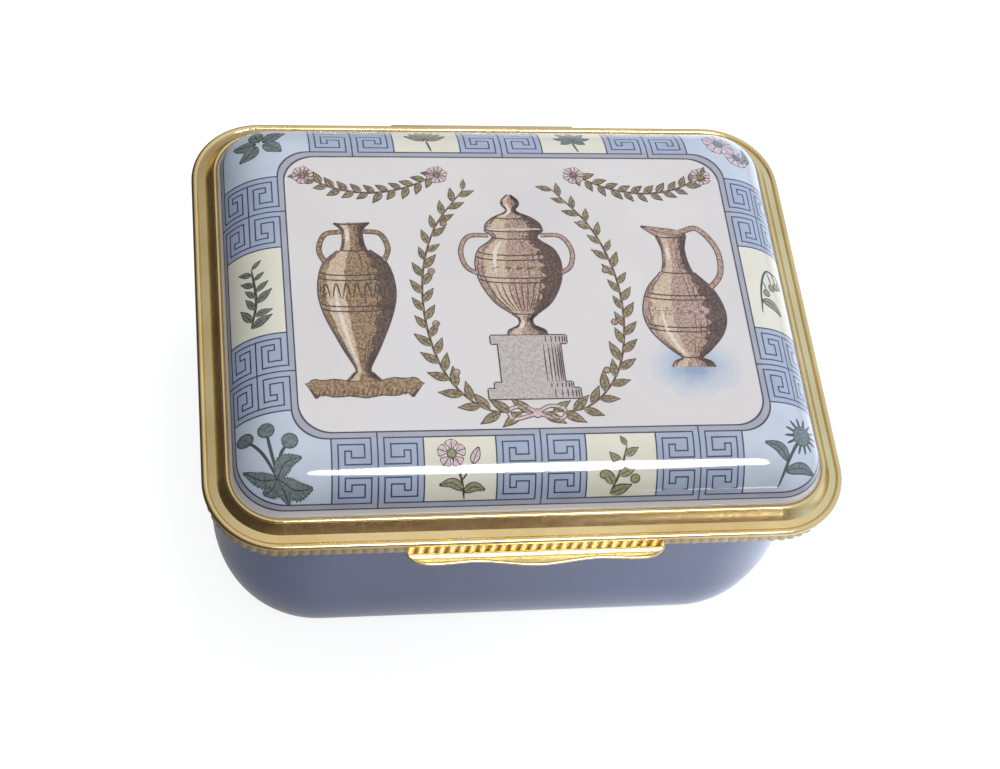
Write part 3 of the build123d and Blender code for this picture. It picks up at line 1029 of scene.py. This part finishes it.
class Picture:
    """An upright picture: its size, the pen for its lines, and the rule that puts it on the lid."""

    EDGE = 0.22
    RIB = 0.1
    TOOTH = 0.35

    def __init__(self, place, size=1.0, pen="outline"):
        self.place = lambda points: place(points * size)
        self.pen = pen

    def ribbon(self, ink, line, widths, columns=2):
        """A band of varying width along a line."""
        run = np.gradient(line, axis=0)
        run /= np.linalg.norm(run, axis=1)[:, None]
        left = np.stack([-run[:, 1], run[:, 0]], 1) * np.reshape(widths, (-1, 1))
        inks[ink].rows([self.place(line + left * share) for share in np.linspace(-0.5, 0.5, columns)])

    def stroke(self, points, width, ink=None, ends=0.35):
        """A pen stroke that narrows at both ends."""
        line = smooth(points)
        swell = np.sqrt(np.sin(math.pi * np.linspace(0, 1, len(line))))
        self.ribbon(ink or self.pen, line, width * (ends + (1 - ends) * swell))

    def tube(self, points, width, ink):
        """A stroke of even width with a dark edge."""
        line = smooth(points)
        self.ribbon(self.pen, line, np.full(len(line), width + self.EDGE))
        self.ribbon(ink, line, np.full(len(line), width))

    def leaf(self, base, tip, width, ink, bend=0.0, teeth=0, fullness=0.8):
        """A leaf with a dark edge and a rib; it can bend, have teeth, or be full towards its tip."""
        base, tip = np.array(base, float), np.array(tip, float)
        aside = np.array([base[1] - tip[1], tip[0] - base[0]]) * bend
        line = smooth([base, (base + tip) / 2 + aside, tip], 2 * teeth or 6)
        swell = np.sin(math.pi * np.linspace(0, 1, len(line)) ** fullness)
        if teeth:
            swell *= 1 + self.TOOTH * (np.arange(len(line)) % 2)
        self.ribbon(self.pen, line, width * swell + self.EDGE, columns=3)
        self.ribbon(ink, line[1:-1], width * swell[1:-1], columns=3)
        self.stroke([line[0], line[len(line) // 2], line[-2]], self.RIB, "hatching")

    def dot(self, centre, radius, ink):
        """A round mark with a dark edge."""
        for name, reach in ((self.pen, radius + self.EDGE / 2), (ink, radius)):
            along = -np.cos(np.linspace(0.2, math.pi - 0.2, 9)) * reach
            line = np.stack([centre[0] + along, np.full(9, centre[1])], 1)
            self.ribbon(name, line, 2 * np.sqrt(reach**2 - along**2), columns=5)

    def leaves(self, points, ink, **values):
        """A leafy stem: dark edge, tone and rib, each one run of the tree."""
        line = smooth(points)
        self.stroke(points, 0.26)
        links = [(i, i + 1) for i in range(len(line) - 1)]
        length, width = values["Leaf_Length"], values["Leaf_Width"]
        edge = (self.pen, length + self.EDGE, width + self.EDGE)
        for name, long, wide in (edge, (ink, length, width), ("hatching", 0.85 * length, self.RIB)):
            sizes = {**values, "Leaf_Length": long, "Leaf_Width": wide}
            made_points, made_faces = run_tree(leafy_stem, line, links, **sizes)
            inks[name].adopt(self.place(np.array(made_points)[:, :2]), made_faces)

    def flower(self, centre, radius, petals, heart="sepia", width=0.95):
        """Rose petals round a heart."""
        centre = np.array(centre)
        for petal in range(petals):
            way = heading(360 * (petal + 0.25) / petals)
            self.leaf(centre + way * radius * 0.2, centre + way * radius, width, "rose", fullness=1.7)
        self.dot(centre, radius * 0.28, heart)


print("marks ready")

# %% [markdown]
# Ten sprigs fill the corners and the cream panels. Each is drawn upright, so that they all stand the
# same way up as the box does, and a rule says how its points lie on the tape of the border: beside
# one of the sides, or outwards along a corner's diagonal.

# %% Rules for the border's pictures
CORNER_STRETCH = 1.35


def tape_reach(across):
    """How far beyond the top's edge, seen from above, a distance across the tape comes."""
    return SHOULDER_RADIUS * (np.sin(TOP_SLOPE + across / SHOULDER_RADIUS) - math.sin(TOP_SLOPE))


def on_side(right, up, along, across=BORDER_WIDTH / 2):
    """The rule for a cream panel: right or up, 1 or -1, says which side, and along says where."""
    def place(points):
        reach = tape_reach(across + points[:, 0] * right + points[:, 1] * up)
        x = along + points[:, 0] if up else right * (TOP_HALF_WIDTH + reach)
        y = along + points[:, 1] if right else up * (TOP_HALF_DEPTH + reach)
        return np.stack([x, y], 1)
    return place


def in_corner(right, up, across=BORDER_WIDTH / 2):
    """The rule for a corner: outwards along its diagonal."""
    outwards = np.array([right, up]) * math.sqrt(0.5)
    level = np.array([-outwards[1], outwards[0]])

    def place(points):
        reach = tape_reach(across + points @ outwards / CORNER_STRETCH)
        corner = TOP_CORNER + (EDGE_CORNER - TOP_CORNER) * reach / SHOULDER_RUN
        reach = reach - corner * (1 - math.sqrt(0.5))
        seat = np.stack([right * (TOP_HALF_WIDTH + reach), up * (TOP_HALF_DEPTH + reach)], 1)
        return seat + (points @ level)[:, None] * level
    return place


print("rules for sides and corners ready")

# %% [markdown]
# Six of the sprigs are leaves and berries. A twig and a fern are runs of the leafy stem, a spray
# hangs its berries from an arched stem, and the others set single leaves round a point.


# %% Draw the leafy sprigs
def twig(picture, ink):
    """A leaning twig with leaves and two fruits."""
    stem = [(-1.2, -3), (-0.2, -0.6), (0.6, 2)]
    picture.leaves(stem, ink, Leaves=6, Leaf_Length=2.1, Leaf_Width=0.95, Spread=0.9, Seed=3)
    picture.dot((1.4, -1.4), 0.42, ink)
    picture.dot((-1.9, -0.9), 0.36, ink)


def fern(picture, ink):
    """An upright frond."""
    stem = [(-0.3, -3.4), (0.3, -0.8), (0, 2.6)]
    picture.leaves(stem, ink, Leaves=11, Leaf_Length=1.9, Leaf_Width=0.6, Spread=0.95, Seed=7)


def fan_leaf(picture, ink):
    """One leaf like an open fan."""
    foot = np.array([0, -0.9])
    picture.stroke([(0.5, -3), (0.2, -1.8), foot], 0.28)
    for blade in range(7):
        way = heading(25 + 130 * blade / 6)
        picture.leaf(foot + way * 0.2, foot + way * 3.0, 0.85, ink)


def star_leaf(picture, ink):
    """A leaf with seven toothed fingers."""
    palm = np.array([0, -0.5])
    picture.stroke([(0.5, -3), (0.1, -1.8), (0, -0.6)], 0.26)
    for finger, length in enumerate((1.9, 2.5, 3.0, 3.2, 3.0, 2.5, 1.9)):
        picture.leaf(palm, palm + heading(-30 + 240 * finger / 6) * length, 0.75, ink, teeth=4)


def berry_spray(picture, ink):
    """An arching stem with hanging berries and one broad leaf."""
    picture.stroke([(-1.4, -3.2), (-0.9, 0.2), (0.2, 2.4), (1.8, 2.3)], 0.26)
    picture.leaf((-1.2, -1.6), (1.3, -3.0), 1.0, ink, bend=0.15)
    for x, y, drop in ((-0.6, 1.0, 1.2), (0.3, 2.2, 1.5), (1.1, 2.4, 1.3), (1.8, 2.3, 0.9)):
        picture.stroke([(x, y), (x + 0.25, y - drop / 2), (x + 0.3, y - drop)], 0.16)
        picture.dot((x + 0.3, y - drop - 0.3), 0.36, ink)


def rosette(picture, ink):
    """Five broad leaves on short stalks."""
    for degrees, length in ((100, 3.4), (30, 3.2), (165, 3.1), (-35, 2.8), (225, 2.9)):
        way = heading(degrees)
        picture.leaf(way * 0.4, way * length, 1.5, ink, bend=0.08)


print("six leafy sprigs")

# %% [markdown]
# The other four carry flowers: pink ones with open petals, round heads over toothed leaves, and a
# head of thin rays.


# %% Draw the flowering sprigs
def bud_spray(picture, ink):
    """A forked stem with an open flower, a bud and two leaves."""
    picture.stroke([(0.4, -3.2), (0.0, -0.8), (-0.9, 1.2)], 0.26)
    picture.stroke([(0.1, -1.2), (1.3, 0.6)], 0.22)
    picture.leaf((0.3, -2.2), (-2.2, -1.6), 0.9, ink, bend=-0.2)
    picture.leaf((0.3, -2.4), (2.5, -2.2), 0.9, ink, bend=0.2)
    picture.flower((-0.9, 1.6), 1.5, 5, ink, 1.15)
    picture.leaf((1.2, 0.5), (1.9, 2.2), 0.8, "rose")


def blossoms(picture, ink):
    """Two open flowers and a leaf."""
    picture.leaf((1.2, -2.2), (2.8, 1.4), 0.9, ink, bend=-0.2)
    picture.flower((-0.9, 0.8), 2.1, 5, ink, 1.9)
    picture.flower((1.0, -1.3), 1.6, 5, ink, 1.5)


def daisy_clump(picture, ink):
    """Three stems of round heads over spreading toothed leaves."""
    for x, y in ((-2.2, 2.6), (-0.4, 3.0), (1.5, 1.8)):
        picture.stroke([(0.2, -1.8), (x * 0.4, y * 0.3), (x, y)], 0.3)
        picture.dot((x, y), 0.62, ink)
    tips = [(-3.0, -0.6), (3.2, -2.0), (-1.6, -2.8), (2.4, 0.3), (0.9, -3.3)]
    for tip, bend in zip(tips, (0.15, -0.15, 0.1, 0.2, 0)):
        picture.leaf((0.1, -1.5), tip, 1.1, ink, bend=bend, teeth=6)


def aster(picture, ink):
    """A flower of many thin rays on a stem with two long leaves."""
    picture.stroke([(-1.4, -3.0), (-0.4, -0.6), (0.8, 1.2)], 0.34)
    picture.leaf((-0.9, -1.8), (3.0, -2.4), 0.95, ink, bend=0.1)
    picture.leaf((-0.6, -1.0), (-3.0, 0.8), 0.85, ink, bend=-0.15)
    head = np.array([1.0, 1.5])
    for ray in range(14):
        way = heading(360 * ray / 14)
        picture.stroke([head + way * 0.6, head + way * 1.9], 0.26)
    picture.dot(head, 0.95, ink)


print("four flowering sprigs")

# %% [markdown]
# Now each sprig gets its ink, its place, its size and its pen. The two in the front panels are
# outlined in brown, and the others in dark slate.

# %% Set out the sprigs
front_at = (BLOCK_WIDTH + SIDES["front"]["panel"]) / 2
SPRIGS = [
    (bud_spray, "olive", on_side(0, -1, -front_at), 1.12, "outline"),
    (twig, "olive", on_side(0, -1, front_at), 1.12, "outline"),
    (fan_leaf, "olive", on_side(0, 1, -front_at, 3.1), 0.95, "slate_line"),
    (star_leaf, "leaf_green", on_side(0, 1, front_at, 3.1), 0.95, "slate_line"),
    (fern, "leaf_green", on_side(-1, 0, 0), 1.35, "slate_line"),
    (berry_spray, "olive", on_side(1, 0, 0, 3.2), 1.15, "slate_line"),
    (daisy_clump, "slate", in_corner(-1, -1), 1.35, "slate_line"),
    (aster, "slate", in_corner(1, -1), 1.3, "slate_line"),
    (rosette, "slate", in_corner(-1, 1, 3.4), 1.2, "slate_line"),
    (blossoms, "slate", in_corner(1, 1, 2.9), 1.05, "slate_line"),
]
for draw, ink, place, size, pen in SPRIGS:
    draw(Picture(place, size, pen), ink)
print("sprigs:", len(SPRIGS))

# %% [markdown]
# The panel holds a still life in sepia. A vessel is turned, so half of its outline gives all of it.
# Its tone is one sheet, with a darker sheet over its right and a paler one over its left. Its shade
# is hatching that follows the outline and thickens away from the light, its bands are shallow arcs,
# and one bright stroke is its shine. Dark edges lie lower than tones, so where a handle meets the
# vessel its edge goes under the vessel's tone, and the handle seems to stand behind.

# %% Marks for vessels and stone
HATCH_SHARES = (0.22, 0.38, 0.52, 0.64, 0.74, 0.83, 0.9, 0.96, -0.86, -0.95)
STONE_HATCH_SHARES = (0.96, 0.9, 0.82, 0.72, 0.6, 0.45)
SHADOW_FROM = 0.56
LIGHT_FROM = -0.3
LIGHT_WIDTH = 0.5
LIGHT_WAVE = 0.3
RAGGED = 0.1
RAGGED_TURN = 1.9
SHINE_AT = -0.55
FLATNESS = 0.12
CONTOUR = 0.3
STRAIGHT_STEP = 0.7
chance = random.Random(5)


def vessel(picture, centre, profile, ink):
    """A turned vessel from half its outline: widths and heights from the foot up."""
    line = smooth(profile)

    def upright(share, part=line):
        """The outline drawn in to a share of its width: -1 is its left side and 1 its right."""
        return np.stack([centre + part[:, 0] * share, part[:, 1]], 1)

    wave = RAGGED * np.sin(np.arange(len(line)) * RAGGED_TURN)
    ragged = SHADOW_FROM + wave
    shares = np.linspace(0, 1, 6)
    sheets = {
        ink: np.linspace(-1, 1, 11),
        "shadow": [ragged + (1 - ragged) * share for share in shares],
        "light": [LIGHT_FROM - LIGHT_WIDTH * share - LIGHT_WAVE * wave for share in shares[::-1]],
    }
    for tone, edges in sheets.items():
        inks[tone].rows([picture.place(upright(edge)) for edge in edges])
    for share in (-1, 1):
        picture.ribbon("outline", upright(share), np.full(len(line), CONTOUR))
    for share in HATCH_SHARES:
        start = chance.randrange(0, 4)
        while start < len(line) - 4:
            length = chance.randrange(5, 14)
            piece = line[start:start + length]
            wobble = [chance.uniform(-0.02, 0.02) for _point in piece]
            path = upright(share + np.array(wobble), piece)
            weight = 0.1 + 0.12 * max(share, 0) ** 2
            picture.ribbon("hatching", path, weight * np.sin(np.linspace(0.3, math.pi - 0.3, len(path))))
            start += length + chance.randrange(1, 3)
    shine = upright(SHINE_AT, line[len(line) // 3: -len(line) // 4])
    picture.ribbon("bright", shine, 0.5 * np.sin(np.linspace(0.1, math.pi - 0.1, len(shine))))


def band(picture, centre, half, height):
    """A band round a vessel, seen as a shallow arc."""
    across = np.linspace(-1, 1, 13)
    arc = height - FLATNESS * half * np.sqrt(1 - across**2)
    picture.ribbon("hatching", np.stack([centre + across * half, arc], 1), np.full(13, 0.18))


def handled(picture, centre, ink, handle, width, sides, parts, bands):
    """A vessel of several parts, with its handles behind it and its bands in front."""
    for side in sides:
        picture.tube([(centre + side * x, y) for x, y in handle], width, ink)
    for part in parts:
        vessel(picture, centre, part, ink)
    for half, height in bands:
        band(picture, centre, half, height)


def straight(start, end):
    """A straight line in short steps."""
    return np.linspace(start, end, 2 + round(math.dist(start, end) / STRAIGHT_STEP))


def block(picture, half, low, high):
    """A squared stone block, hatched at its right-hand end."""
    across = half * np.linspace(-1, 1, 13)
    inks["stone"].rows([picture.place(straight((x, low), (x, high))) for x in across])
    for share in STONE_HATCH_SHARES:
        x = half * share
        picture.stroke([(x, low + 0.1), (x, high - 0.1)], 0.1 + 0.08 * share, "hatching")
    corners = [(-half, low), (half, low), (half, high), (-half, high), (-half, low)]
    for start, end in zip(corners, corners[1:]):
        side = straight(start, end)
        picture.ribbon("outline", side, np.full(len(side), CONTOUR))


print("hatch lines on a vessel:", len(HATCH_SHARES))

# %% [markdown]
# The covered urn stands in the middle, on a pedestal of four blocks. Flutes rise from its foot, and
# a row of small leaves goes round it between two pairs of bands.


# %% Draw the urn
def urn(picture):
    """The covered urn on its pedestal."""
    for half, low, high in ((5.4, -15.6, -14.3), (4.6, -14.3, -13.5), (3.7, -13.5, -8.3), (4.5, -8.3, -7.2)):
        block(picture, half, low, high)
    foot = [(2.3, -7.1), (2.1, -6.5), (0.9, -5.8), (0.8, -4.9), (1.5, -4.2)]
    body = [(1.6, -4.1), (3.4, -2.5), (4.8, 0.2), (5.2, 2.9), (4.6, 5.0), (3.2, 6.2), (2.7, 7.0), (3.6, 8.0)]
    cover = [(3.5, 8.2), (3.2, 9.0), (2.2, 9.9), (1.0, 10.5)]
    knob = [(0.5, 11.1), (1.0, 11.9), (0.9, 12.6), (0.15, 13.4)]
    handle = [(4.6, 1.4), (6.3, 2.5), (6.8, 4.9), (5.7, 7.0), (3.2, 7.2)]
    bands = [(1.6, -4.1), (4.9, 0.7), (5.1, 1.4), (5.0, 4.0), (4.7, 4.7), (2.8, 6.9), (3.6, 8.1), (2.1, 9.9)]
    handled(picture, 0, "terracotta", handle, 0.42, (-1, 1), (foot, body, cover + knob), bands)
    for flute in np.linspace(-0.85, 0.85, 11):
        picture.stroke([(1.7 * flute, -3.9), (3.7 * flute, -1.9), (4.6 * flute, 0.1)], 0.15, "hatching")
    for x in np.linspace(-4.2, 4.2, 7):
        y = 2.7 - 0.6 * math.sqrt(1 - (x / 5.2) ** 2)
        picture.leaf((x - 0.5, y), (x + 0.6, y + 0.3), 0.5, "sepia")


print("urn ready")

# %% [markdown]
# A wine jar with two handles stands on a rough slab at the left, with a zigzag between its bands. A
# jug with one high handle stands at the right, with a row of small flowers.

# %% Draw the jar and the jug
JAR_AT = -19.6
JUG_AT = 19.6


def wine_jar(picture):
    """A jar with two tall handles on a rough slab."""
    slab = smooth([(-25.8, -14.0), (-24.6, -13.6), (-19.5, -13.9), (-14.6, -13.6), (-13.4, -14.2)])
    thickness = 2.0 + 0.25 * np.sin(np.arange(len(slab)) * 1.7)
    picture.ribbon("outline", slab, thickness + 0.24)
    picture.ribbon("sepia", slab[1:-1], thickness[1:-1], columns=4)
    for x in np.arange(-25, -13.6, 0.55):
        picture.stroke([(x, -14.8), (x + 0.2, -14.4), (x + 0.3, -13.9)], 0.13, "hatching")
    foot = [(1.9, -12.8), (1.2, -12.0), (0.8, -11.2)]
    belly = [(2.2, -8.2), (4.0, -3.6), (4.5, -0.2), (3.8, 3.2), (1.9, 5.2)]
    neck = [(1.5, 5.2), (1.2, 6.4), (1.2, 8.2), (2.1, 9.3)]
    handle = [(3.4, 3.4), (4.1, 5.4), (3.3, 7.6), (1.3, 8.0)]
    bands = [(4.1, -3.0), (4.3, -2.3), (4.3, 1.4), (4.1, 2.1), (1.5, 5.3), (2.1, 9.3)]
    handled(picture, JAR_AT, "sepia", handle, 0.45, (-1, 1), (foot + belly, neck), bands)
    for x in JAR_AT + np.linspace(-3.6, 3.6, 7):
        picture.stroke([(x - 0.5, -1.6), (x, 0.5), (x + 0.5, -1.6)], 0.2, "hatching")


def jug(picture):
    """A jug with one high handle and a spout."""
    foot = [(2.6, -11.6), (2.2, -10.9), (1.2, -10.3)]
    belly = [(2.4, -9.2), (4.4, -6.8), (5.1, -4.0), (4.2, -0.8), (2.1, 1.8)]
    neck = [(1.9, 1.8), (1.5, 3.4), (1.4, 5.4), (1.9, 7.4)]
    handle = [(3.0, -1.2), (5.4, 1.6), (5.6, 5.4), (3.6, 8.4), (1.3, 7.9)]
    bands = [(1.3, -10.2), (4.7, -6.2), (4.8, -5.6), (4.6, -1.7), (4.3, -1.1), (2.0, 1.9), (1.9, 7.2)]
    handled(picture, JUG_AT, "terracotta", handle, 0.55, (1,), (foot + belly, neck), bands)
    picture.leaf((21.6, 7.5), (16.0, 8.7), 1.5, "terracotta", bend=0.08)
    for x in JUG_AT + np.linspace(-3.6, 3.6, 6):
        picture.flower((x, -3.9), 0.72, 5, "sepia", 0.4)


print("the jar is at", JAR_AT, "and the jug at", JUG_AT)

# %% [markdown]
# Two laurel branches rise round the urn and are tied below it, and two swags of leaves hang between
# flowers above. Each is a run of the leafy stem, along a line that is mirrored for the other side.

# %% Draw the wreath and set out the still life
SWAG_ENDS = (8.6, 25.0)


def wreath(picture):
    """Two laurel branches tied below the pedestal, two swags and their rosettes."""
    branch = [(0.6, -17.4), (6.0, -16.8), (10.0, -12.6), (11.8, -6.0), (11.7, 1.4), (9.6, 8.4), (5.6, 14.2)]
    swag = [(SWAG_ENDS[0], 16.6), (12.6, 14.6), (17.0, 13.8), (21.4, 14.6), (SWAG_ENDS[1], 16.6)]
    loop = [(0, -17.4), (1.6, -16.6), (3.2, -17.0), (2.8, -18.2), (0.2, -17.6)]
    for side in (-1, 1):
        picture.leaves(
            [(side * x, y) for x, y in branch], "laurel",
            Leaves=34, Leaf_Length=2.7, Leaf_Width=0.95, Spread=0.62, Tip_Scale=0.7, Seed=11 + side,
        )
        picture.leaves(
            [(side * x, y) for x, y in swag], "laurel",
            Leaves=22, Leaf_Length=1.7, Leaf_Width=0.7, Spread=0.7, Tip_Scale=1.0, Seed=21 + side,
        )
        for x, y in branch[2:6]:
            picture.dot((side * (x - 1.1), y + 0.6), 0.34, "terracotta")
        for x in SWAG_ENDS:
            picture.flower((side * x, 16.6), 1.35, 6)
        picture.tube([(side * x, y) for x, y in loop], 0.3, "rose")
    picture.dot((0, -17.5), 0.5, "rose")


panel = Picture(lambda points: points)
for draw in (wreath, urn, wine_jar, jug):
    draw(panel)
print("still life drawn in", sum(len(drawing.faces) > 0 for drawing in inks.values()), "inks")

# %% [markdown]
# Last, every ink is fired as one piece, and a soft blue wash is laid under the jug. The wash fades
# into the white of the lid by its distance from its middle, so its edge is never seen.

# %% Fire the inks
WASH_MIDDLE = (JUG_AT, -11.6)
WASH_REACH = (7.6, 5.4)
WASH_RINGS = (0.005, 0.2, 0.4, 0.6, 0.8, 1.0)
WASH_LIFT = 0.02
WASH_GRAIN = 0.0016
WASH_RAGGED = 0.4


def wash_colour():
    """Blue in the middle, the white of the lid at the edge."""
    material, tree, surface, place = start_material("wash_blue")
    middle = tuple(value * MM for value in (*WASH_MIDDLE, lid_high.z / MM))
    size = (1 / (WASH_REACH[0] * MM), 1 / (WASH_REACH[1] * MM), 0)
    offset = calc_vector(tree, "SUBTRACT", place, middle)["Vector"]
    scaled = calc_vector(tree, "MULTIPLY", offset, size)["Vector"]
    reach = calc_vector(tree, "LENGTH", scaled)["Value"]
    ragged = calc(tree, "MULTIPLY_ADD", noise(tree, place, WASH_GRAIN, 5), WASH_RAGGED, reach)
    blues = (0.3, shade(146, 163, 190)), (0.65, shade(190, 198, 211)), (1.0, shade(216, 212, 212))
    fill(tree, surface, Base_Color=ramp(tree, ragged, *blues))
    fill(tree, surface, Roughness=GLAZE_ROUGHNESS, Coat_Weight=GLAZE_COAT)
    return material


wash = Drawing()
turns = [heading(degrees) * WASH_REACH for degrees in np.linspace(0, 360, 33)[:-1]]
wash.rows([[turn * ring + WASH_MIDDLE for turn in turns] for ring in WASH_RINGS], closed=True)
wash.fire("blue_wash", WASH_LIFT, wash_colour())
for name, (lift, dark, light, low, high) in INKS.items():
    ink = glaze("ink_" + name, (low, shade(*dark)), (high, shade(*light)), size=MOTTLE, detail=INK_DETAIL)
    inks[name].fire("print_" + name, lift, ink)
